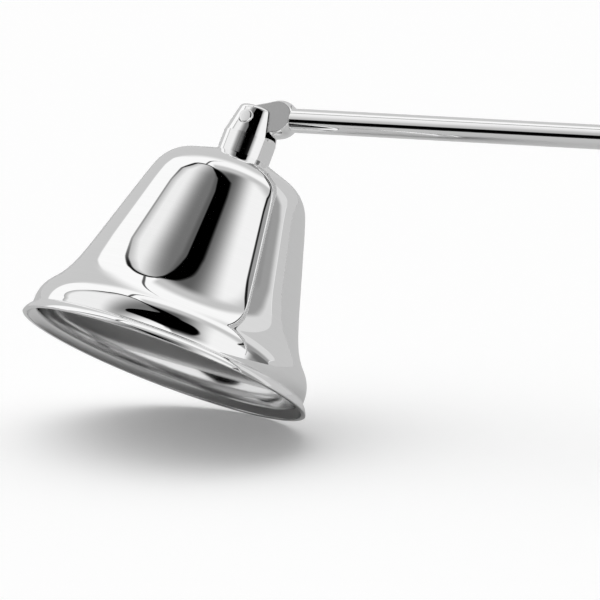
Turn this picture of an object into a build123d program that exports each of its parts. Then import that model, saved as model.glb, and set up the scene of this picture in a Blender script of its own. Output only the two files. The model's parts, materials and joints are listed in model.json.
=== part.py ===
"""Candle snuffer: a spun metal bell that swings in a slotted neck on the end of a rod handle.

The origin is the centre of the bell's mouth, +Z runs up the bell's axis, the hinge pin lies
along Y and the handle leaves towards +X. All lengths are in millimetres, all angles in degrees.
"""
from build123d import *
from math import asin, atan2, cos, degrees, hypot, radians, sin, sqrt, tan
import os

# Bell: a spun shell. Its outline runs from the mouth up to the crown, and each stretch starts
# where the one before it ends.
mouth_radius = 19.9
sheet = 0.6
lip_height = 1.4
lip_width = 0.95
lip_round = 2.2
roll_height = 2.1
roll_round = 4.8
roll_turn = 42
cove_round = 11.8
cone_lean = 17.1
shoulder_height = 24.5
shoulder_round = 5.8
crown_slope = 20
crown_step = 0.35
crease_round = 0.15
mouth_edge_round = 0.1

# Neck: a turned stud on the crown, straight and then tapered. A disc cutter sunk into its top
# leaves two ears and a slot with a dished floor.
neck_radius = 3.6
neck_straight = 2.9
ear_lean = 12.4
pivot_rise = 5.07
neck_over_pivot = 1.95
neck_top_round = 0.7
ear_edge_round = 0.1
slot_cutter_radius = 6.4
slot_floor_gap = 0.25
slot_side_gap = 0.1

# Hinge pin: fast in the two ears, and the knuckle turns on it.
pin_radius = 1.0
pin_proud = 0.15
pin_end_round = 0.3
pin_running_gap = 0.05
fixed_gap = 0.01

# Knuckle: a bulb on the end of the handle, with two milled flats. It grows from a small ball
# around the pin to a larger one on the handle's line, which passes a little over the pin.
handle_slope = 10.6
axis_over_pin = 0.7
tongue_thickness = 2.9
tongue_end_radius = 2.4
ball_radius = 2.57
ball_distance = 3.4
flat_edge_round = 0.08

# Rod: a plain bar, turned down to a spigot at both ends.
rod_radius = 1.6
rod_length = 230
spigot_radius = 1.0
spigot_length = 2.6
spigot_end_gap = 0.2

# End knob: a turned drop on the free end of the rod.
knob_collar_radius = 2.1
knob_collar_length = 1.2
knob_waist_radius = 1.75
knob_waist_length = 0.9
knob_radius = 3.1
knob_length = 14

# Screw and washer that hold the neck on the crown, from inside the bell.
screw_radius = 1.25
screw_hole_gap = 0.2
screw_web = 0.8
screw_tip_gap = 0.15
head_radius = 2.3
head_height = 1.5
head_round = 0.5
drive_width = 0.6
drive_depth = 0.8
washer_radius = 3.0
washer_thickness = 0.5

# One overrun for every cut that has to pass right through.
overrun = 1.0

# The bell's outer outline, worked out stretch by stretch as (radius, height) places.
crown_lean = 90 - crown_slope
crease_radius = mouth_radius - lip_width
chord = hypot(lip_width, lip_height)
lip_sag = sqrt(lip_round**2 - (chord / 2) ** 2)
lip_center = (
    (mouth_radius + crease_radius) / 2 - lip_sag * lip_height / chord,
    lip_height / 2 - lip_sag * lip_width / chord,
)
roll_center = (
    crease_radius - sqrt(roll_round**2 - (roll_height - lip_height) ** 2),
    roll_height,
)
cove_center = (
    roll_center[0] + (roll_round + cove_round) * cos(radians(roll_turn)),
    roll_center[1] + (roll_round + cove_round) * sin(radians(roll_turn)),
)
cone_foot = (
    cove_center[0] - cove_round * cos(radians(cone_lean)),
    cove_center[1] - cove_round * sin(radians(cone_lean)),
)
cone_top_radius = cone_foot[0] - (shoulder_height - cone_foot[1]) * tan(radians(cone_lean))
shoulder_center = (
    cone_top_radius - shoulder_round * cos(radians(cone_lean)),
    shoulder_height - shoulder_round * sin(radians(cone_lean)),
)
crown_start = (
    shoulder_center[0] + shoulder_round * cos(radians(crown_lean)),
    shoulder_center[1] + shoulder_round * sin(radians(crown_lean)),
)
crown_flat_radius = neck_radius + crown_step
crown_height = crown_start[1] + (crown_start[0] - crown_flat_radius) * tan(radians(crown_slope))

# Heights on the bell's axis that several pieces share.
pivot_height = crown_height + pivot_rise
slot_floor = pivot_height - tongue_end_radius - slot_floor_gap
slot_width = tongue_thickness + 2 * slot_side_gap
neck_top = pivot_height + neck_over_pivot
crown_underside = crown_height - sheet
washer_underside = crown_underside - washer_thickness
screw_hole_top = slot_floor - screw_web
screw_hole_radius = screw_radius + screw_hole_gap

# The handle's line: pieces on it are made along X from over the pin, then set in this place. The
# rod starts where the ball is as thick as the rod.
rod_start = ball_distance + sqrt(ball_radius**2 - rod_radius**2)
rod_end = rod_start + rod_length
handle_place = Location((0, 0, pivot_height + axis_over_pin), (0, -handle_slope, 0))

# The bulb has a line of its own, from the pin to the middle of its large ball.
bulb_run = ball_distance + axis_over_pin * sin(radians(handle_slope))
bulb_rise = axis_over_pin * cos(radians(handle_slope))
bulb_length = hypot(bulb_run, bulb_rise)
bulb_slope = handle_slope + degrees(atan2(bulb_rise, bulb_run))
bulb_place = Location((0, 0, pivot_height), (0, -bulb_slope, 0))


def bend(center, radius, lean_start, lean_end):
    """An arc of an outline in the XZ plane, between two leans about its centre."""
    leans = [radians(lean) for lean in (lean_start, (lean_start + lean_end) / 2, lean_end)]
    places = [(center[0] + radius * cos(lean), 0, center[1] + radius * sin(lean)) for lean in leans]
    return ThreePointArc(*places)


def crossing(center_a, radius_a, center_b, radius_b):
    """The upper one of the two places where two circles of an outline cross."""
    apart = hypot(center_b[0] - center_a[0], center_b[1] - center_a[1])
    step = (center_b[0] - center_a[0]) / apart, (center_b[1] - center_a[1]) / apart
    along = (apart**2 + radius_a**2 - radius_b**2) / (2 * apart)
    across = sqrt(radius_a**2 - along**2)
    return (
        center_a[0] + along * step[0] - across * step[1],
        center_a[1] + along * step[1] + across * step[0],
    )


def arc_between(center, radius, start, end):
    """The short arc about a centre between two places of an outline."""
    middle = ((start[0] + end[0]) / 2 - center[0], (start[1] + end[1]) / 2 - center[1])
    reach = radius / hypot(*middle)
    bulge = (center[0] + middle[0] * reach, center[1] + middle[1] * reach)
    return ThreePointArc(*[(place[0], 0, place[1]) for place in (start, bulge, end)])


def straight(start, end):
    """A straight stretch of an outline in the XZ plane."""
    return Line((start[0], 0, start[1]), (end[0], 0, end[1]))


def bell_skin(inset):
    """One skin of the bell from its mouth to its screw hole, inset from the outer one."""
    lip_reach = lip_round - inset
    mouth = (lip_center[0] + sqrt(lip_reach**2 - lip_center[1] ** 2), 0)
    crease = crossing(roll_center, roll_round - inset, lip_center, lip_reach)
    roll_end = (
        roll_center[0] + (roll_round - inset) * cos(radians(roll_turn)),
        roll_center[1] + (roll_round - inset) * sin(radians(roll_turn)),
    )
    cone_low = (
        cone_foot[0] - inset * cos(radians(cone_lean)),
        cone_foot[1] - inset * sin(radians(cone_lean)),
    )
    cone_high = (
        shoulder_center[0] + (shoulder_round - inset) * cos(radians(cone_lean)),
        shoulder_center[1] + (shoulder_round - inset) * sin(radians(cone_lean)),
    )
    crown_low = (
        shoulder_center[0] + (shoulder_round - inset) * cos(radians(crown_lean)),
        shoulder_center[1] + (shoulder_round - inset) * sin(radians(crown_lean)),
    )
    crown_level = crown_height - inset
    crown_high = (
        crown_low[0] - (crown_level - crown_low[1]) / tan(radians(crown_slope)),
        crown_level,
    )
    hole = (screw_hole_radius, crown_level)
    edges = [
        arc_between(lip_center, lip_reach, mouth, crease),
        arc_between(roll_center, roll_round - inset, crease, roll_end),
        bend(cove_center, -cove_round - inset, roll_turn, cone_lean),
        straight(cone_low, cone_high),
        bend(shoulder_center, shoulder_round - inset, cone_lean, crown_lean),
        straight(crown_low, crown_high),
        straight(crown_high, hole),
    ]
    return edges, mouth, crease, hole


def rings(solid, places):
    """The round edges of a spun solid that pass through the given places of its outline."""
    circles = [edge for edge in solid.edges().filter_by(GeomType.CIRCLE) if edge.is_closed]
    return [
        min(circles, key=lambda edge: hypot(edge.radius - radius, edge.arc_center.Z - height))
        for radius, height in places
    ]


def make_bell():
    """The shell: the space between its outer and inner skins, spun about its axis."""
    outer, outer_mouth, outer_crease, outer_hole = bell_skin(0)
    inner, inner_mouth, inner_crease, inner_hole = bell_skin(sheet)
    ends = [straight(outer_mouth, inner_mouth), straight(outer_hole, inner_hole)]
    shell = revolve(make_face(Wire(outer + inner + ends)), Axis.Z)
    shell = fillet(rings(shell, [outer_mouth, inner_mouth]), mouth_edge_round)
    return fillet(rings(shell, [outer_crease, inner_crease]), crease_round)


def make_neck():
    """The stud with its slot, its threaded hole below and the pin's hole through both ears."""
    taper_start = crown_height + neck_straight
    top_radius = neck_radius - (neck_top - taper_start) * tan(radians(ear_lean))
    outline = [
        (0, crown_height),
        (neck_radius, crown_height),
        (neck_radius, taper_start),
        (top_radius, neck_top),
        (0, neck_top),
    ]
    sides = [straight(start, end) for start, end in zip(outline, outline[1:] + outline[:1])]
    stud = revolve(make_face(Wire(sides)), Axis.Z)
    stud = fillet(rings(stud, [(top_radius, neck_top)]), neck_top_round)
    cutter = extrude(Plane.XZ * Circle(slot_cutter_radius), slot_width / 2, both=True)
    stud -= Pos(0, 0, slot_floor + slot_cutter_radius) * cutter
    ear_edges = stud.edges().filter_by_position(
        Axis.Y, -slot_width / 2, slot_width / 2, inclusive=(True, True)
    )
    ear_edges = [edge for edge in ear_edges if edge.center().Z > taper_start]
    stud = fillet(ear_edges, ear_edge_round)
    screw_hole = extrude(Circle(screw_radius + fixed_gap), screw_hole_top - crown_height)
    stud -= Pos(0, 0, crown_height) * screw_hole
    return stud - cross_bar(pin_radius + fixed_gap, neck_radius + overrun)


def cross_bar(radius, half_length):
    """A round bar on the pivot line, for the pin and for the holes it sits in."""
    bar = extrude(Plane.XZ * Circle(radius), half_length, both=True)
    return Pos(0, 0, pivot_height) * bar


def make_pin():
    """The hinge pin, with rounded ends that stand a little proud of the ears."""
    ear_radius = neck_radius - (pivot_rise - neck_straight) * tan(radians(ear_lean))
    bar = cross_bar(pin_radius, ear_radius + pin_proud)
    ends = bar.edges().filter_by(GeomType.CIRCLE)
    return fillet(ends, pin_end_round)


def handle_turned(outline):
    """A piece turned about the handle: its outline starts and ends on X, and is spun about it."""
    axis_line = Line(outline[-1] @ 1, outline[0] @ 0)
    return revolve(make_face(Wire(outline + [axis_line])), Axis.X)


def make_knuckle():
    """The bulb: two balls joined by their common cone, with two flats and a flat end."""
    cone_rise = degrees(asin((ball_radius - tongue_end_radius) / bulb_length))
    cone_start = (
        -tongue_end_radius * sin(radians(cone_rise)),
        tongue_end_radius * cos(radians(cone_rise)),
    )
    cone_end = (
        bulb_length - ball_radius * sin(radians(cone_rise)),
        ball_radius * cos(radians(cone_rise)),
    )
    bulb = bulb_place * handle_turned(
        [
            CenterArc((0, 0), tongue_end_radius, 180, cone_rise - 90),
            Line(cone_start, cone_end),
            CenterArc((bulb_length, 0), ball_radius, 90 + cone_rise, -90 - cone_rise),
        ]
    )
    bulb &= handle_place * Box(2 * rod_start, tongue_thickness, 2 * rod_start)
    sides = bulb.faces().filter_by(Plane.XZ)
    bulb = fillet(sides.edges(), flat_edge_round)
    bulb -= handle_place * rod_socket(rod_start, -1)
    return bulb - cross_bar(pin_radius + pin_running_gap, ball_radius)


def rod_socket(mouth_distance, direction):
    """The blind hole that a spigot of the rod sits in, from its mouth into the piece."""
    depth = spigot_length + spigot_end_gap
    hole = extrude(Plane.YZ * Circle(spigot_radius + fixed_gap), depth * direction)
    return Pos(mouth_distance, 0, 0) * hole


def make_rod():
    """The bar between the knuckle and the knob, with a spigot at each end."""
    bar = Pos(rod_start, 0, 0) * extrude(Plane.YZ * Circle(rod_radius), rod_length)
    core = Pos(rod_start - spigot_length, 0, 0) * extrude(
        Plane.YZ * Circle(spigot_radius), rod_length + 2 * spigot_length
    )
    return handle_place * (bar + core)


def make_knob():
    """The drop on the far end: a collar, a waist, then a swell that closes in a round tip."""
    collar_end = rod_end + knob_collar_length
    waist_end = collar_end + knob_waist_length
    widest = rod_end + knob_length - knob_radius
    knob = handle_turned(
        [
            Line((rod_end, 0), (rod_end, knob_waist_radius)),
            ThreePointArc(
                (rod_end, knob_waist_radius),
                ((rod_end + collar_end) / 2, knob_collar_radius),
                (collar_end, knob_waist_radius),
            ),
            Line((collar_end, knob_waist_radius), (waist_end, knob_waist_radius)),
            Spline(
                (waist_end, knob_waist_radius),
                (widest, knob_radius),
                tangents=[(1, 0), (1, 0)],
            ),
            JernArc((widest, knob_radius), (1, 0), knob_radius, -90),
        ]
    )
    return handle_place * (knob - rod_socket(rod_end, 1))


def make_washer():
    """The flat ring between the screw's head and the crown."""
    ring = extrude(Circle(washer_radius) - Circle(screw_hole_radius), washer_thickness)
    return Pos(0, 0, washer_underside) * ring


def make_screw():
    """The pan head screw, from under the washer up into the neck, with a slot for the driver."""
    head = extrude(Circle(head_radius), -head_height)
    head = fillet(head.edges().group_by(Axis.Z)[0], head_round)
    head -= Pos(0, 0, -head_height) * Box(2 * head_radius, drive_width, 2 * drive_depth)
    shank = extrude(Circle(screw_radius), screw_hole_top - screw_tip_gap - washer_underside)
    return Pos(0, 0, washer_underside) * (head + shank)


pieces = {
    "bell": make_bell(),
    "neck_fork": make_neck(),
    "neck_washer": make_washer(),
    "neck_screw": make_screw(),
    "hinge_pin": make_pin(),
    "knuckle": make_knuckle(),
    "handle_rod": make_rod(),
    "end_knob": make_knob(),
}

os.makedirs("parts", exist_ok=True)
for name, piece in pieces.items():
    export_step(piece, f"parts/{name}.step")
    print(name, "volume", round(piece.volume, 2))
print("crown height", round(crown_height, 2), "pivot height", round(pivot_height, 2))
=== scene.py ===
"""The candle snuffer dressed for its picture: fine turned meshes, chrome and a white studio.

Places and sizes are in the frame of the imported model: metres, +Z up the bell's axis, the handle
towards +X. Sizes of the pieces are written in millimetres and multiplied by MM.
"""
import json
import math

import bmesh
import bpy
from mathutils import Matrix, Vector


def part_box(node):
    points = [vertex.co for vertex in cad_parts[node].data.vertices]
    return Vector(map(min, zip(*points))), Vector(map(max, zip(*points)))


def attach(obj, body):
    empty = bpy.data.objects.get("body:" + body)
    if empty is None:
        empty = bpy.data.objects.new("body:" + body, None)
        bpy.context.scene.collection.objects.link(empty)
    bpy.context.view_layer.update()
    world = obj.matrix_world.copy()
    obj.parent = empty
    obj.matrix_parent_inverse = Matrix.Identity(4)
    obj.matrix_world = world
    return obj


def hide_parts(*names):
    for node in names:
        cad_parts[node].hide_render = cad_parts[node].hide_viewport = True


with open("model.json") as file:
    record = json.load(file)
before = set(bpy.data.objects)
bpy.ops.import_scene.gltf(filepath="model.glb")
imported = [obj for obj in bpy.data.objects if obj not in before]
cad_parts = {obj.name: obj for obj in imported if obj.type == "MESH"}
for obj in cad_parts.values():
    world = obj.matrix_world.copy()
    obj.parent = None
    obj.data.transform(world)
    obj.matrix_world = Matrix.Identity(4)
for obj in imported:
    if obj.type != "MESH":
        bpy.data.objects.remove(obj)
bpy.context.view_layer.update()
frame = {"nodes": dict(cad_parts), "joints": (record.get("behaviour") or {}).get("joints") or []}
MM = 0.001

# Camera: it looks at the side of the leaning bell from a little below the plane of its mouth,
# from far away through a long lens, so that the handle's sides stay parallel.
picture_side = 600
sensor_width = 36
pixels_per_mm = 7.6
camera_distance = 900
look_turn = math.radians(30)
look_rise = math.radians(-9.1)
picture_lean = math.radians(20.8)
mouth_center_pixel = (163.6, 364.4)

to_camera = Vector(
    (
        math.sin(look_turn) * math.cos(look_rise),
        -math.cos(look_turn) * math.cos(look_rise),
        math.sin(look_rise),
    )
)
bell_up = (Vector((0, 0, 1)) - to_camera.z * to_camera).normalized()
bell_right = bell_up.cross(to_camera)
picture_up = math.cos(picture_lean) * bell_up - math.sin(picture_lean) * bell_right
picture_right = math.cos(picture_lean) * bell_right + math.sin(picture_lean) * bell_up
aim_right = (picture_side / 2 - mouth_center_pixel[0]) / pixels_per_mm
aim_up = (mouth_center_pixel[1] - picture_side / 2) / pixels_per_mm

camera_data = bpy.data.cameras.new("camera")
camera_data.sensor_width = sensor_width
camera_data.lens = sensor_width * camera_distance * pixels_per_mm / picture_side
camera = bpy.data.objects.new("camera", camera_data)
bpy.context.scene.collection.objects.link(camera)
camera_turn = Matrix((picture_right, picture_up, to_camera)).transposed().to_4x4()
camera_place = (aim_right * picture_right + aim_up * picture_up + camera_distance * to_camera) * MM
camera.matrix_world = Matrix.Translation(camera_place) @ camera_turn
bpy.context.scene.camera = camera
bpy.context.scene.view_settings.view_transform = "Standard"


class Value:
    """A socket's number in Python arithmetic: each operation adds one Math node to its graph."""

    def __init__(self, graph, socket):
        self.graph = graph
        self.socket = socket

    def __add__(self, other):
        return self.graph.math("ADD", self, other)

    def __radd__(self, other):
        return self.graph.math("ADD", other, self)

    def __sub__(self, other):
        return self.graph.math("SUBTRACT", self, other)

    def __rsub__(self, other):
        return self.graph.math("SUBTRACT", other, self)

    def __mul__(self, other):
        return self.graph.math("MULTIPLY", self, other)

    def __rmul__(self, other):
        return self.graph.math("MULTIPLY", other, self)

    def __truediv__(self, other):
        return self.graph.math("DIVIDE", self, other)

    def __pow__(self, power):
        return self.graph.math("POWER", self, power)

    def __abs__(self):
        return self.graph.math("ABSOLUTE", self)


class Graph:
    """A node tree, with one method that adds a node and short names for the sums made often."""

    def __init__(self, tree):
        self.tree = tree

    def node(self, kind, settings=None, sockets=None):
        """A node of a kind: its settings first, then the values or links of its sockets."""
        made = self.tree.nodes.new(kind)
        for name, value in (settings or {}).items():
            setattr(made, name, value)
        for name, value in (sockets or {}).items():
            if isinstance(value, Value):
                value = value.socket
            if isinstance(value, bpy.types.NodeSocket):
                self.tree.links.new(value, made.inputs[name])
            else:
                made.inputs[name].default_value = value
        return made

    def math(self, operation, *numbers):
        """One Math node."""
        made = self.node("ShaderNodeMath", {"operation": operation}, dict(enumerate(numbers)))
        return Value(self, made.outputs[0])

    def least(self, first, second):
        return self.math("MINIMUM", first, second)

    def most(self, first, second):
        return self.math("MAXIMUM", first, second)

    def ramp(self, value, low, high, start=0.0, end=1.0):
        """A smooth step from start to end while the value goes from low to high."""
        settings = {"interpolation_type": "SMOOTHSTEP"}
        sockets = {"Value": value, "From Min": low, "From Max": high}
        sockets.update({"To Min": start, "To Max": end})
        return Value(self, self.node("ShaderNodeMapRange", settings, sockets).outputs[0])

    def blend(self, first, second, share):
        """A mix of two numbers."""
        return first * (1 - share) + second * share

    def dot(self, vector, direction):
        """The length of a vector along a fixed direction."""
        made = self.node(
            "ShaderNodeVectorMath", {"operation": "DOT_PRODUCT"}, {0: vector, 1: tuple(direction)}
        )
        return Value(self, made.outputs["Value"])


# Studio: a white paper table under the leaning bell, in a white tent. Polished metal shows only
# this, so the tent is drawn as a map of its cloths, seen from below: degrees to the right of the
# zenith and degrees to the front of it. Levels are those of the finished picture, 0 to 1.
table_tilt = math.radians(13)
tent_up = math.cos(table_tilt) * picture_up + math.sin(table_tilt) * to_camera
tent_front = math.cos(table_tilt) * to_camera - math.sin(table_tilt) * picture_up
picture_power = 2.2
map_reach = 100
least_reach = 0.0001
curve_middle = 0.5
white = (1, 1, 1, 1)

world = bpy.data.worlds.new("studio")
bpy.context.scene.world = world
world.use_nodes = True
world.node_tree.nodes.clear()
studio = Graph(world.node_tree)
direction = studio.node("ShaderNodeTexCoord").outputs["Generated"]
towards_right = studio.dot(direction, picture_right)
towards_front = studio.dot(direction, tent_front)
towards_up = studio.dot(direction, tent_up)
from_zenith = studio.math("ARCCOSINE", studio.most(studio.least(towards_up, 1), -1))
from_zenith = from_zenith * math.degrees(1)
level_reach = (towards_right**2 + towards_front**2) ** 0.5
spread = from_zenith / studio.most(level_reach, least_reach)
right = towards_right * spread
front = towards_front * spread


def cloth_edge(along, *places):
    """Where an edge of cloth runs: a smooth curve through a few places of the map."""
    inside = along / (2 * map_reach) + curve_middle
    made = studio.node("ShaderNodeFloatCurve", sockets={"Value": inside})
    line = made.mapping.curves[0]
    while len(line.points) < len(places):
        line.points.new(curve_middle, curve_middle)
    for point, place in zip(line.points, places):
        point.location = [share / (2 * map_reach) + curve_middle for share in place]
    made.mapping.extend = "HORIZONTAL"
    made.mapping.update()
    return Value(studio, made.outputs[0]) * (2 * map_reach) - map_reach


# The left cloth is sewn to the roof with a dark seam. It shades off towards the camera's
# opening, and a little beside the seam.
roof_level = 1.0
hard_edge = (-1, 1)
seam_places = ((-66, -26), (-58, -31), (-50, -29), (-40, -21.5), (-31, -15.2), (-25, -12))
seam_end_places = ((-19, -10.3), (-13, -6.8), (-9, -2.8), (-5.7, 2.5), (-3.5, 7))
opening_way = (0.6, 0.8)
left_fade = (-20, 9)
left_levels = (0.95, 0.45)
left_cloth_end = (62, 26)
seam_fade = (0, 10)
seam_fade_levels = (0.74, 1.0)
past_seam = front - cloth_edge(right, *seam_places, *seam_end_places)
to_opening = opening_way[0] * right + opening_way[1] * front
left_shade = studio.ramp(to_opening, *left_fade, *left_levels)
seam_shade = studio.ramp(past_seam, *seam_fade, *seam_fade_levels)
on_left = studio.ramp(past_seam, *hard_edge) * studio.ramp(front, *left_cloth_end)
tent = studio.blend(roof_level, studio.least(left_shade, seam_shade), on_left)

# The right half of the roof darkens to the front, and brightens again right of the opening.
half_places = ((-30, 12), (-12, -2), (0, -4), (30, 0))
half_edge = (-2, 2)
half_end = (78, 62)
far_fade = (-11, -2)
far_levels = (0.99, 0.775)
near_fade = (14, 46)
near_levels = (0.36, 0.97)
far_to_near = (2, 15)
past_half = right - cloth_edge(front, *half_places)
far_shade = studio.ramp(front, *far_fade, *far_levels)
near_shade = studio.ramp(right, *near_fade, *near_levels)
right_shade = studio.blend(far_shade, near_shade, studio.ramp(front, *far_to_near))
on_right = studio.ramp(past_half, *half_edge) * studio.ramp(front, *half_end)
tent = studio.blend(tent, right_shade, on_right)

# The opening for the camera is black. Its left edge is sharp overhead and soft low down.
dark_level = 0.005
opening_left_places = ((-2, -7.5), (2, -6.5), (7, -5), (11, -3.2), (16, -1), (20, 1.4), (23, 2.4))
opening_out_places = ((24.5, 0.2), (27, -16), (30, -30), (35, -33))
opening_low_places = ((40, -28), (46, -21), (52, -13), (60, -3))
opening_right_places = ((-2, -6.5), (4, -4), (8, 0), (12, 4.5), (17, 9.9), (20.5, 13.4), (23, 16))
opening_side_places = ((26.6, 17.3), (28.5, 20), (31, 25), (34, 28))
opening_foot_places = ((45, 31.5), (56, 28), (66, 18))
left_hard_edge = (-0.8, 0.8)
left_soft_edge = (-4, 2)
left_softens = (32, 42)
right_high_edge = (2, -2)
right_low_edge = (2.5, -2)
right_changes = (20, 28)
opening_start = (-1, 2)
opening_end = (68, 56)
opening_left = cloth_edge(front, *opening_left_places, *opening_out_places, *opening_low_places)
opening_right = cloth_edge(
    front, *opening_right_places, *opening_side_places, *opening_foot_places
)
past_right = right - opening_right
low_side = studio.ramp(front, *right_changes)
past_left = right - opening_left
soft_left = studio.ramp(front, *left_softens)
inside_left = studio.blend(
    studio.ramp(past_left, *left_hard_edge), studio.ramp(past_left, *left_soft_edge), soft_left
)
inside_right = studio.blend(
    studio.ramp(past_right, *right_high_edge), studio.ramp(past_right, *right_low_edge), low_side
)
opening = inside_left * inside_right
opening = opening * studio.ramp(front, *opening_start) * studio.ramp(front, *opening_end)
tent = studio.blend(tent, dark_level, opening)

# Low at the left, past the end of the paper, the room is dark.
room_front = 0.77
room_left = 0.64
room_edge = (64, 70)
room_side = (-46, -54)
room_top = (26, 36)
room = studio.ramp(room_front * front - room_left * right, *room_edge)
room = room * studio.ramp(right, *room_side)
tent = studio.blend(tent, dark_level, room * studio.ramp(front, *room_top))

# The back cloth is light grey. Its edge is sharp at the left and soft overhead.
back_level = 0.79
back_places = ((-70, -56), (-41, -51), (-27, -42), (-19, -36), (0, -31), (20, -29), (36, -27))
back_end_places = ((50, -34), (100, -40))
back_hard_edge = (2, -2)
back_soft_edge = (8, -9)
back_softens = (-34, -20)
past_back = front - cloth_edge(right, *back_places, *back_end_places)
soft_back = studio.ramp(right, *back_softens)
back = studio.blend(
    studio.ramp(past_back, *back_hard_edge), studio.ramp(past_back, *back_soft_edge), soft_back
)
tent = studio.blend(tent, back_level, back)

# The right cloth hangs past a dark slit: grey near the slit, darker low down, with a pale hem.
slit_places = ((-60, 30), (-45, 36), (-35, 40), (-27, 45), (-20, 50.5), (-12, 56.5), (-4, 60.5))
slit_end_places = ((3, 62.5), (13, 62.5), (30, 63))
slit_edge = (0, 1.5)
slit_foot = (17, 11)
hem_places = ((60, -34), (74, -32), (80, -21), (86, -8), (92, -2), (98, 8))
hem_edge = (-1, 0.6)
hem_drop = 1
cloth_corner = 62
cloth_slope = 0.25
above_hem_level = 0.78
cloth_fade = (-14, -4)
cloth_levels = (0.86, 0.61)
low_cloth_lean = 0.28
low_cloth_edge = (66, 77)
low_cloth_end = (62, 30)
low_cloth_slope = 0.6
low_cloth_start = (6, 12)
low_fade = (12, 26)
low_levels = (0.42, 0.57)
past_slit = right - cloth_edge(front, *slit_places, *slit_end_places)
past_hem = front - cloth_edge(right, *hem_places)
on_cloth = studio.ramp(past_hem, *hem_edge)
down_cloth = front + cloth_slope * (right - cloth_corner)
cloth = studio.ramp(down_cloth, *cloth_fade, *cloth_levels)
cloth = studio.blend(above_hem_level, cloth, on_cloth)
on_slit_side = studio.ramp(past_slit, *slit_edge) * studio.ramp(front, *slit_foot)
tent = studio.blend(tent, cloth, on_slit_side)
low_cloth = studio.ramp(right - low_cloth_lean * front, *low_cloth_edge)
low_cloth = low_cloth * studio.ramp(front, *low_cloth_end) * on_cloth
past_start = front + low_cloth_slope * (right - cloth_corner)
low_cloth = low_cloth * studio.ramp(past_start, *low_cloth_start)
tent = studio.blend(tent, studio.ramp(front, *low_fade, *low_levels), low_cloth)
hem_level = 0.93
hem_line = (1.3, 0.3)
hem_start = (76, 79)
hem_end = (88, 83)
hem = studio.ramp(abs(past_hem + hem_drop), *hem_line)
hem = hem * studio.ramp(right, *hem_start) * studio.ramp(right, *hem_end)
tent = studio.blend(tent, hem_level, hem)

# The seam, the fold that leaves it and the slit are thin dark lines. The seam is finer and paler
# at the left.
seam_thins = (-26, -42)
seam_widths = (1.0, 0.6)
seam_levels = (0.1, 0.68)
seam_line_edge = (2.2, 0.6)
seam_line_end = (-4.5, -6)
seam_width = studio.ramp(right, *seam_thins, *seam_widths)
seam_level = studio.ramp(right, *seam_thins, *seam_levels)
seam_line = studio.ramp(abs(past_seam) / seam_width, *seam_line_edge)
seam_line = seam_line * studio.ramp(right, *seam_line_end)
tent = studio.blend(tent, seam_level, seam_line)
fold_level = 0.35
fold_places = ((-23, 8), (-18, -3), (-9.5, -9.3), (-5, -12.5))
fold_line_edge = (1.9, 0.5)
fold_start = (-24, -20)
fold_end = (-5, -7)
past_fold = right - cloth_edge(front, *fold_places)
fold_line = studio.ramp(abs(past_fold), *fold_line_edge)
fold_line = fold_line * studio.ramp(front, *fold_start) * studio.ramp(front, *fold_end)
tent = studio.blend(tent, fold_level, fold_line)
slit_level = 0.12
slit_line_edge = (1.6, 0.5)
slit_start = (-62, -56)
slit_end = (18, 12)
slit_line = studio.ramp(abs(past_slit), *slit_line_edge)
slit_line = slit_line * studio.ramp(front, *slit_start) * studio.ramp(front, *slit_end)
tent = studio.blend(tent, slit_level, slit_line)

# The lamp that lights the paper is a wide soft one overhead, a little to the left and the back.
lamp_left = 0.45
lamp_back = 0.15
sky_strength = 0.35
lamp_strength = 2.275
lamp_power = 5
light_paths = studio.node("ShaderNodeLightPath").outputs
seen = Value(studio, light_paths["Is Camera Ray"])
glossy = Value(studio, light_paths["Is Glossy Ray"])
lamp_way = tent_up - lamp_left * picture_right - lamp_back * tent_front
towards_lamp = studio.most(studio.dot(direction, lamp_way.normalized()), 0)
dome = sky_strength + lamp_strength * towards_lamp**lamp_power
strength = studio.blend(studio.blend(dome, tent**picture_power, glossy), 1.0, seen)
sockets = {"Color": white, "Strength": strength}
background = studio.node("ShaderNodeBackground", sockets=sockets)
studio.node("ShaderNodeOutputWorld", sockets={"Surface": background.outputs[0]})

# The paper is a flat sheet under the low edge of the mouth. In the metal it shows painted shade:
# it is painted grey in reflections, and dark towards the room. It is clear from below.
mouth_radius = 19.9
floor_size = 3.0
paper_level = 0.9
paper_glow = 0.14
# Painted shade of the paper in the metal's reflections: grey, going dark towards the room.
reflected_shade_levels = (0.56, 0.01)
room_shade_fade = (0.2, 0.3)
level_lean = math.hypot(tent_up.x, tent_up.y)
floor_drop = mouth_radius * level_lean * MM
floor_mesh = bpy.data.meshes.new("floor")
floor_middle = -floor_drop * tent_up
floor_corners = [
    floor_middle + floor_size * (side * picture_right + depth * tent_front)
    for side, depth in ((-1, 1), (1, 1), (1, -1), (-1, -1))
]
floor_mesh.from_pydata(floor_corners, [], [(0, 1, 2, 3)])
floor = bpy.data.objects.new("floor", floor_mesh)
bpy.context.scene.collection.objects.link(floor)
paper = bpy.data.materials.new("white_paper")
paper.use_nodes = True
paper.node_tree.nodes.clear()
sheet_graph = Graph(paper.node_tree)
paths = sheet_graph.node("ShaderNodeLightPath").outputs
mirrored = Value(sheet_graph, paths["Is Glossy Ray"])
spot = sheet_graph.node("ShaderNodeTexCoord").outputs["Object"]
to_room = sheet_graph.dot(spot, room_front * tent_front - room_left * picture_right)
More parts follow.
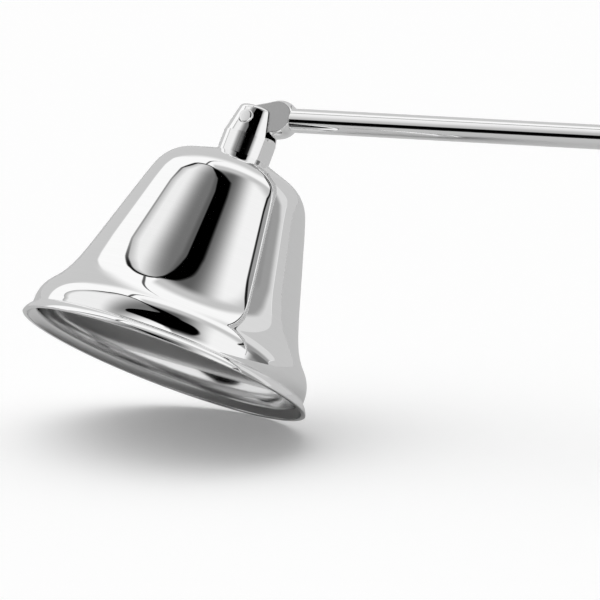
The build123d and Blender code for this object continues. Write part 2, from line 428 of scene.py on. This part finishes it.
# Painted shade: seen in the metal, the paper is painted grey, and darker towards the room.
reflected_shade_level = sheet_graph.ramp(to_room, *room_shade_fade, *reflected_shade_levels)
sheet_level = sheet_graph.blend(paper_level, reflected_shade_level, mirrored)
matt = sheet_graph.node("ShaderNodeBsdfDiffuse", sockets={"Color": sheet_level})
shown = Value(sheet_graph, paths["Is Camera Ray"])
glow = sheet_graph.node(
    "ShaderNodeEmission", sockets={"Color": white, "Strength": paper_glow * shown}
)
lit = sheet_graph.node("ShaderNodeAddShader", sockets={0: matt.outputs[0], 1: glow.outputs[0]})
clear = sheet_graph.node("ShaderNodeBsdfTransparent")
under = Value(sheet_graph, sheet_graph.node("ShaderNodeNewGeometry").outputs["Backfacing"])
surface = sheet_graph.node(
    "ShaderNodeMixShader", sockets={0: under, 1: lit.outputs[0], 2: clear.outputs[0]}
)
sheet_graph.node("ShaderNodeOutputMaterial", sockets={"Surface": surface.outputs[0]})
floor_mesh.materials.append(paper)


# Bell: a cup spun from one sheet of brass, then polished and chrome plated: crown, shoulder,
# cone, cove, roll and a turned-out lip, with one wall all the way. The cone opens into the cove
# in a slow flare, and bends into the shoulder in a slow brow.
sheet = 0.6
lip_height = 1.4
lip_width = 0.95
lip_round = 2.2
roll_height = 2.1
roll_round = 4.8
roll_turn = 42
cove_round = 11.14
foot_lean = 22
foot_round = 28
flare_lean = 19.3
flare_round = 65
cone_lean = 16.7
cone_height = 21.95
brow_lean = 18.2
brow_round = 80
ease_round = 15
ease_lean = 23
shoulder_round = 5.55
crown_slope = 20
crease_round = 0.15
mouth_edge_round = 0.1
screw_hole_radius = 1.45
cone_steps = 10
crown_steps = 6
hub_steps = 4

around = 270
small_around = 144
roll_step = 1.5
curve_step = 1.0
fine_step = 0.5
finest_step = 0.25
merge_distance = 1e-7

marks_per_metre = 5000
mark_detail = 2.0
mark_height = 0.00001
mark_depths = (0.02, 0.3)
mark_levels = (0.97, 1.03)
mark_roughness = (0.6, 1.4)
chrome_level = 0.95
bell_polish = 0.012
inside_finish = (0.8, 0.14)


def plain_share(graph, given):
    """No part of the piece is left dull."""
    return 0.0


def worked_metal(name, level, roughness, marks, dull_share=plain_share, dull=(0.5, 0.3)):
    """Metal with the fine marks of its last work, and another finish where it was left dull.

    The level and the roughness are the polished finish, and dull is that pair for the other one.
    """
    metal = bpy.data.materials.new(name)
    metal.use_nodes = True
    metal.node_tree.nodes.clear()
    graph = Graph(metal.node_tree)
    given = graph.node("ShaderNodeTexCoord").outputs
    sockets = {"Vector": marks(graph, given["Object"]), "Scale": 1.0, "Detail": mark_detail}
    line = Value(graph, graph.node("ShaderNodeTexNoise", sockets=sockets).outputs[0])
    share = dull_share(graph, given)
    depth = graph.blend(*mark_depths, share)
    sockets = {"Height": line, "Strength": depth, "Distance": mark_height}
    bumped = graph.node("ShaderNodeBump", sockets=sockets)
    sockets = {
        "Base Color": graph.blend(level, dull[0], share) * graph.blend(*mark_levels, line),
        "Metallic": 1.0,
        "Roughness": graph.blend(roughness, dull[1], share) * graph.blend(*mark_roughness, line),
        "Normal": bumped.outputs[0],
    }
    shaded = graph.node("ShaderNodeBsdfPrincipled", sockets=sockets)
    graph.node("ShaderNodeOutputMaterial", sockets={"Surface": shaded.outputs[0]})
    return metal


def ring_marks(graph, place):
    """Places for marks that run round Z, as the lathe and the polishing cloth leave them."""
    apart = graph.node("ShaderNodeSeparateXYZ", sockets={0: place}).outputs
    x = Value(graph, apart["X"])
    y = Value(graph, apart["Y"])
    reach = (x * x + y * y) ** 0.5
    rings = {"X": reach * marks_per_metre, "Y": Value(graph, apart["Z"]) * marks_per_metre}
    return graph.node("ShaderNodeCombineXYZ", sockets=rings).outputs[0]


def inside_share(graph, given):
    """1 where the surface looks back at a place under the bell, which is its inside."""
    under_bell = 20 * MM
    soft_step = 0.5 * MM
    raised = graph.node(
        "ShaderNodeVectorMath", {"operation": "ADD"}, {0: given["Object"], 1: (0, 0, under_bell)}
    )
    faced = graph.node(
        "ShaderNodeVectorMath",
        {"operation": "DOT_PRODUCT"},
        {0: raised.outputs[0], 1: given["Normal"]},
    )
    return graph.ramp(Value(graph, faced.outputs["Value"]), soft_step, -soft_step)


def turning_tree():
    """Nodes that turn an outline about Z: a grid's rows are carried to the outline's places."""
    tree = bpy.data.node_groups.new("turning", "GeometryNodeTree")
    face = tree.interface
    face.new_socket("Outline", in_out="INPUT", socket_type="NodeSocketGeometry")
    face.new_socket("Steps round", in_out="INPUT", socket_type="NodeSocketInt")
    face.new_socket("Metal", in_out="INPUT", socket_type="NodeSocketMaterial")
    face.new_socket("Turned piece", in_out="OUTPUT", socket_type="NodeSocketGeometry")
    graph = Graph(tree)
    given = graph.node("NodeGroupInput").outputs
    outline = given["Outline"]
    places = graph.node("GeometryNodeAttributeDomainSize", sockets={"Geometry": outline})
    rows = Value(graph, places.outputs["Point Count"])
    steps = Value(graph, given["Steps round"])
    sockets = {"Vertices X": steps + 1, "Vertices Y": rows}
    grid = graph.node("GeometryNodeMeshGrid", sockets=sockets)
    spot = graph.node("GeometryNodeInputPosition").outputs[0]
    apart = graph.node("ShaderNodeSeparateXYZ", sockets={0: spot}).outputs
    half_grid = 0.5
    turn = (Value(graph, apart["X"]) + half_grid) * math.tau
    row = graph.math("ROUND", (Value(graph, apart["Y"]) + half_grid) * (rows - 1))
    found = graph.node(
        "GeometryNodeSampleIndex",
        {"data_type": "FLOAT_VECTOR", "domain": "POINT"},
        {"Geometry": outline, "Value": spot, "Index": row},
    )
    carried = graph.node(
        "ShaderNodeVectorRotate",
        {"rotation_type": "Z_AXIS"},
        {"Vector": found.outputs[0], "Angle": turn},
    )
    turned = graph.node(
        "GeometryNodeSetPosition",
        sockets={"Geometry": grid.outputs["Mesh"], "Position": carried.outputs[0]},
    )
    sockets = {"Geometry": turned.outputs[0], "Distance": merge_distance}
    merged = graph.node("GeometryNodeMergeByDistance", sockets=sockets)
    smooth = graph.node("GeometryNodeSetShadeSmooth", sockets={"Geometry": merged.outputs[0]})
    real = graph.node("GeometryNodeRealizeInstances", sockets={"Geometry": smooth.outputs[0]})
    sockets = {"Geometry": real.outputs[0], "Material": given["Metal"]}
    plated = graph.node("GeometryNodeSetMaterial", sockets=sockets)
    graph.node("NodeGroupOutput", sockets={0: plated.outputs[0]})
    return tree


turning = turning_tree()


def bend(center, radius, start, end, step=2.0):
    """Places along an arc of an outline, between two leans about its centre, in degrees."""
    count = max(2, round(abs(end - start) / step))
    leans = [math.radians(start + (end - start) * share / count) for share in range(count + 1)]
    return [(center[0] + radius * math.cos(a), center[1] + radius * math.sin(a)) for a in leans]


def run(start, end, count):
    """Places along a straight stretch of an outline, without its two ends."""
    shares = [number / count for number in range(1, count)]
    return [tuple(a + (b - a) * share for a, b in zip(start, end)) for share in shares]


def rounded_corner(before, corner, after, radius, step=15.0):
    """Places of the small arc that eases the corner of an outline."""
    to_before = (Vector(before) - Vector(corner)).normalized()
    to_after = (Vector(after) - Vector(corner)).normalized()
    half = to_before.angle(to_after) / 2
    reach = radius / math.tan(half)
    middle = Vector(corner) + (to_before + to_after).normalized() * (radius / math.sin(half))
    first = Vector(corner) + to_before * reach - middle
    last = Vector(corner) + to_after * reach - middle
    sweep = first.angle_signed(last)
    count = max(3, round(math.degrees(abs(sweep)) / step))
    turns = [Matrix.Rotation(-sweep * number / count, 2) for number in range(count + 1)]
    return [tuple(middle + turn @ first) for turn in turns]


def turned_piece(name, outline, metal, line=Matrix(), steps=around):
    """A piece turned from an outline of (radius, height) places in mm, and set on a line."""
    mesh = bpy.data.meshes.new(name)
    places = [(radius * MM, 0, height * MM) for radius, height in outline]
    mesh.from_pydata(places, [(number, number + 1) for number in range(len(places) - 1)], [])
    piece = bpy.data.objects.new(name, mesh)
    bpy.context.scene.collection.objects.link(piece)
    lathe = piece.modifiers.new("turning", "NODES")
    lathe.node_group = turning
    inputs = {item.name: item.identifier for item in turning.interface.items_tree}
    lathe[inputs["Steps round"]] = steps
    lathe[inputs["Metal"]] = metal
    view = bpy.context.evaluated_depsgraph_get()
    plain = bpy.data.meshes.new_from_object(piece.evaluated_get(view))
    plain.transform(line)
    piece.modifiers.clear()
    piece.data = plain
    work = bmesh.new()
    work.from_mesh(plain)
    bmesh.ops.recalc_face_normals(work, faces=work.faces)
    work.to_mesh(plain)
    work.free()
    return piece


chord = math.hypot(lip_width, lip_height)
lip_sag = math.sqrt(lip_round**2 - (chord / 2) ** 2)
crease_radius = mouth_radius - lip_width
lip_center = (
    (mouth_radius + crease_radius) / 2 - lip_sag * lip_height / chord,
    lip_height / 2 - lip_sag * lip_width / chord,
)
roll_center = (
    crease_radius - math.sqrt(roll_round**2 - (roll_height - lip_height) ** 2),
    roll_height,
)
joined = roll_round + cove_round
cove_center = (
    roll_center[0] + joined * math.cos(math.radians(roll_turn)),
    roll_center[1] + joined * math.sin(math.radians(roll_turn)),
)
foot_end = bend(cove_center, -cove_round, foot_lean, foot_lean)[0]
foot_center = bend(foot_end, foot_round, foot_lean, foot_lean)[0]
flare_foot = bend(foot_center, -foot_round, flare_lean, flare_lean)[0]
flare_center = bend(flare_foot, flare_round, flare_lean, flare_lean)[0]
cone_foot = bend(flare_center, -flare_round, cone_lean, cone_lean)[0]
cone_top = (
    cone_foot[0] - (cone_height - cone_foot[1]) * math.tan(math.radians(cone_lean)),
    cone_height,
)
brow_center = bend(cone_top, -brow_round, cone_lean, cone_lean)[0]
brow_end = bend(brow_center, brow_round, brow_lean, brow_lean)[0]
ease_center = bend(brow_end, -ease_round, brow_lean, brow_lean)[0]
ease_end = bend(ease_center, ease_round, ease_lean, ease_lean)[0]
shoulder_center = bend(ease_end, -shoulder_round, ease_lean, ease_lean)[0]
crown_lean = 90 - crown_slope
crown_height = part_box("neck_fork")[0][2] / MM


def lean_of(center, place):
    """The lean of a place about a centre, in degrees."""
    return math.degrees(math.atan2(place[1] - center[1], place[0] - center[0]))


def bell_skin(inset):
    """One skin of the bell from its mouth to its screw hole, inset from the outer one."""
    lip_reach = lip_round - inset
    roll_reach = roll_round - inset
    mouth = (lip_center[0] + math.sqrt(lip_reach**2 - lip_center[1] ** 2), 0)
    apart = Vector(lip_center) - Vector(roll_center)
    along = (apart.length_squared + roll_reach**2 - lip_reach**2) / (2 * apart.length)
    aside = math.sqrt(roll_reach**2 - along**2)
    toward = apart.normalized()
    crease = Vector(roll_center) + along * toward + aside * Vector((-toward.y, toward.x))
    level = crown_height - inset
    slope_end = bend(shoulder_center, shoulder_round - inset, crown_lean, crown_lean)[0]
    slope = math.tan(math.radians(crown_slope))
    crown_edge = (slope_end[0] - (level - slope_end[1]) / slope, level)
    lip = bend(lip_center, lip_reach, lean_of(lip_center, mouth), lean_of(lip_center, crease))
    roll = bend(roll_center, roll_reach, lean_of(roll_center, crease), roll_turn, roll_step)
    cove = bend(cove_center, -cove_round - inset, roll_turn, foot_lean, curve_step)
    foot = bend(foot_center, -foot_round - inset, foot_lean, flare_lean, fine_step)
    flare = bend(flare_center, -flare_round - inset, flare_lean, cone_lean, finest_step)
    brow = bend(brow_center, brow_round - inset, cone_lean, brow_lean, finest_step)
    ease = bend(ease_center, ease_round - inset, brow_lean, ease_lean, fine_step)
    shoulder = bend(shoulder_center, shoulder_round - inset, ease_lean, crown_lean, curve_step)
    cone = run(flare[-1], brow[0], cone_steps)
    crown = run(shoulder[-1], crown_edge, crown_steps)
    hub = run(crown_edge, (screw_hole_radius, level), hub_steps)
    valley = rounded_corner(lip[-2], tuple(crease), roll[1], crease_round)
    wall = cove + foot[1:] + flare[1:] + cone + brow + ease[1:] + shoulder[1:]
    return lip[1:-1] + valley + roll[1:-1] + wall + crown + [crown_edge] + hub


outer_skin = bell_skin(0)
inner_skin = bell_skin(sheet)
outer_mouth = (lip_center[0] + math.sqrt(lip_round**2 - lip_center[1] ** 2), 0)
inner_mouth = (lip_center[0] + math.sqrt((lip_round - sheet) ** 2 - lip_center[1] ** 2), 0)
outer_hole = (screw_hole_radius, crown_height)
inner_hole = (screw_hole_radius, crown_height - sheet)
rim_out = rounded_corner(inner_mouth, outer_mouth, outer_skin[1], mouth_edge_round)
rim_in = rounded_corner(inner_skin[1], inner_mouth, outer_mouth, mouth_edge_round)
bell_outline = rim_in + rim_out + outer_skin + [outer_hole, inner_hole] + inner_skin[::-1]
bell_outline.append(rim_in[0])
bell_finish = (chrome_level, bell_polish, ring_marks, inside_share, inside_finish)
bell_chrome = worked_metal("bell_chrome", *bell_finish)
bell = turned_piece("bell_shell", bell_outline, bell_chrome)
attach(bell, "snuffer_bell")
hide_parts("bell")


def eased(corners, radius):
    """An outline whose corners are small arcs, each held by a place on the straight beside it."""
    places = [corners[0]]
    for before, corner, after in zip(corners, corners[1:], corners[2:]):
        arc = rounded_corner(before, corner, after, radius)
        ahead = Vector(arc[0]) + (Vector(before) - Vector(corner)).normalized() * radius
        behind = Vector(arc[-1]) + (Vector(after) - Vector(corner)).normalized() * radius
        places += [tuple(ahead), *arc, tuple(behind)]
    return places + [corners[-1]]


def finish(node, metal):
    """Gives a CAD node its metal."""
    for place in frame["nodes"][node].material_slots:
        place.material = metal


# Neck: a stud turned from bar, tapered at its top, with a slot cut by a disc cutter for the
# handle. It is chrome plated, sits on the crown and is pulled down by a screw from inside.
fitting_polish = 0.03
neck_chrome = worked_metal("neck_chrome", chrome_level, fitting_polish, ring_marks)
finish("neck_fork", neck_chrome)

# Washer: a flat ring punched from plain steel sheet. It lies inside the crown, under the
# screw's head, and spreads its pull.
washer_radius = 3.0
washer_thickness = 0.5
washer_edge_round = 0.08
steel_level = 0.6
steel_roughness = 0.3
bare_steel = worked_metal("turned_steel", steel_level, steel_roughness, ring_marks)
washer_top = crown_height - sheet
washer_foot = washer_top - washer_thickness
washer_corners = [
    (washer_radius, washer_foot),
    (washer_radius, washer_top),
    (screw_hole_radius, washer_top),
    (screw_hole_radius, washer_foot),
]
washer_ring = washer_corners[-1:] + washer_corners + washer_corners[:1]
washer_outline = eased(washer_ring, washer_edge_round)[1:-1]
washer_outline.append(washer_outline[0])
washer = turned_piece("washer_ring", washer_outline, bare_steel, steps=small_around)
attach(washer, "snuffer_bell")
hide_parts("neck_washer")

# Screw: a slotted pan head screw of plain steel, driven from inside the bell up into the neck,
# which it pulls down on the crown.
finish("neck_screw", bare_steel)

# Hinge pin: a short plated bar pressed through the two ears. Its ends stand a little proud of
# them, flat with a rounded edge.
pin_radius = 1.0
pin_half_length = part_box("hinge_pin")[1][1] / MM
pin_end_round = 0.3
pin_end_step = 6.0
pin_wall_steps = 8
pin_level = 0.93
pin_polish = 0.05
pivot_height = frame["joints"][0]["pos_m"][2] / MM


def pin_marks(graph, place):
    """Places for marks that run round the pin."""
    apart = graph.node("ShaderNodeSeparateXYZ", sockets={0: place}).outputs
    x = Value(graph, apart["X"])
    rise = Value(graph, apart["Z"]) - pivot_height * MM
    reach = (x * x + rise * rise) ** 0.5
    rings = {"X": reach * marks_per_metre, "Y": Value(graph, apart["Y"]) * marks_per_metre}
    return graph.node("ShaderNodeCombineXYZ", sockets=rings).outputs[0]


pin_chrome = worked_metal("pin_chrome", pin_level, pin_polish, pin_marks)
pin_low = (pin_radius - pin_end_round, pin_end_round - pin_half_length)
pin_high = (pin_low[0], -pin_low[1])
pin_foot = bend(pin_low, pin_end_round, -90, 0, pin_end_step)
pin_tip = bend(pin_high, pin_end_round, 0, 90, pin_end_step)
pin_wall = run(pin_foot[-1], pin_tip[0], pin_wall_steps)
pin_ends = (0, -pin_half_length), (0, pin_half_length)
pin_outline = [pin_ends[0], *pin_foot, *pin_wall, *pin_tip, pin_ends[1]]
pin_place = Matrix.Translation((0, 0, pivot_height * MM))
pin_line = pin_place @ Matrix.Rotation(-math.pi / 2, 4, "X")
pin = turned_piece("pin_bar", pin_outline, pin_chrome, pin_line, small_around)
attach(pin, "snuffer_bell")
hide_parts("hinge_pin")

# Knuckle: a bulb on the handle's end with two milled flats, which are ground but not polished
# like the rest. It turns on the pin between the ears.
handle_slope = math.radians(10.6)
axis_over_pin = 0.7
handle_along = Vector((math.cos(handle_slope), 0, math.sin(handle_slope)))
handle_over = Vector((-math.sin(handle_slope), 0, math.cos(handle_slope)))
marks_along = 60
flat_looks = (0.9, 0.99)
flat_finish = (0.5, 0.22)
knuckle_polish = 0.05


def bar_marks(graph, place):
    """Places for marks that run along the handle."""
    lines = {
        "X": graph.dot(place, handle_along) * marks_along,
        "Y": graph.dot(place, handle_over) * marks_per_metre,
        "Z": graph.dot(place, (0, 1, 0)) * marks_per_metre,
    }
    return graph.node("ShaderNodeCombineXYZ", sockets=lines).outputs[0]


def flat_share(graph, given):
    """1 on the two flats, which look along Y."""
    return graph.ramp(abs(graph.dot(given["Normal"], (0, 1, 0))), *flat_looks)


knuckle_finish = (chrome_level, knuckle_polish, bar_marks, flat_share, flat_finish)
knuckle_chrome = worked_metal("knuckle_chrome", *knuckle_finish)
finish("knuckle", knuckle_chrome)

# Rod: a drawn bar, polished along its length and plated, turned down at both ends to spigots
# that are brazed into the knuckle and the knob.
ball_radius = 2.57
ball_distance = 3.4
rod_radius = 1.6
rod_length = 230
spigot_radius = 1.0
spigot_length = 2.6
rod_edge_round = 0.05
rod_start = ball_distance + math.sqrt(ball_radius**2 - rod_radius**2)
rod_end = rod_start + rod_length
handle_chrome = worked_metal("handle_chrome", chrome_level, fitting_polish, bar_marks)
handle_foot = Vector((0, 0, (pivot_height + axis_over_pin) * MM))
handle_lean = Matrix.Rotation(math.pi / 2 - handle_slope, 4, "Y")
handle_line = Matrix.Translation(handle_foot) @ handle_lean
rod_corners = [
    (0, rod_start - spigot_length),
    (spigot_radius, rod_start - spigot_length),
    (spigot_radius, rod_start),
    (rod_radius, rod_start),
    (rod_radius, rod_end),
    (spigot_radius, rod_end),
    (spigot_radius, rod_end + spigot_length),
    (0, rod_end + spigot_length),
]
rod_outline = eased(rod_corners, rod_edge_round)
rod = turned_piece("rod_bar", rod_outline, handle_chrome, handle_line, small_around)
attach(rod, "handle")
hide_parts("handle_rod")

# End knob: a drop turned from bar and plated: a rounded collar, a waist, then a swell that
# closes in a round tip. It is brazed on the rod's far spigot.
collar_radius = 2.1
collar_length = 1.2
waist_radius = 1.75
waist_length = 0.9
knob_radius = 3.1
knob_length = 14
collar_step = 5.0
face_steps = 6
waist_steps = 12
swell_steps = 40
collar_end = rod_end + collar_length
waist_end = collar_end + waist_length
widest = rod_end + knob_length - knob_radius
collar_rise = collar_radius - waist_radius
collar_reach = ((collar_length / 2) ** 2 + collar_rise**2) / (2 * collar_rise)
collar_center = (collar_radius - collar_reach, rod_end + collar_length / 2)
collar_turn = lean_of(collar_center, (waist_radius, collar_end))
collar = bend(collar_center, collar_reach, -collar_turn, collar_turn, collar_step)
waist = run(collar[-1], (waist_radius, waist_end), waist_steps)
swell_shares = [number / swell_steps for number in range(swell_steps)]
swell = [
    (
        waist_radius + (knob_radius - waist_radius) * share**2 * (3 - 2 * share),
        waist_end + (widest - waist_end) * share,
    )
    for share in swell_shares
]
tip = bend((0, widest), knob_radius, 0, 90)
knob_face = [(0, rod_end), *run((0, rod_end), collar[0], face_steps)]
knob_outline = [*knob_face, *collar, *waist, *swell, *tip]
knob = turned_piece("knob_drop", knob_outline, handle_chrome, handle_line, small_around)
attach(knob, "handle")
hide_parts("end_knob")
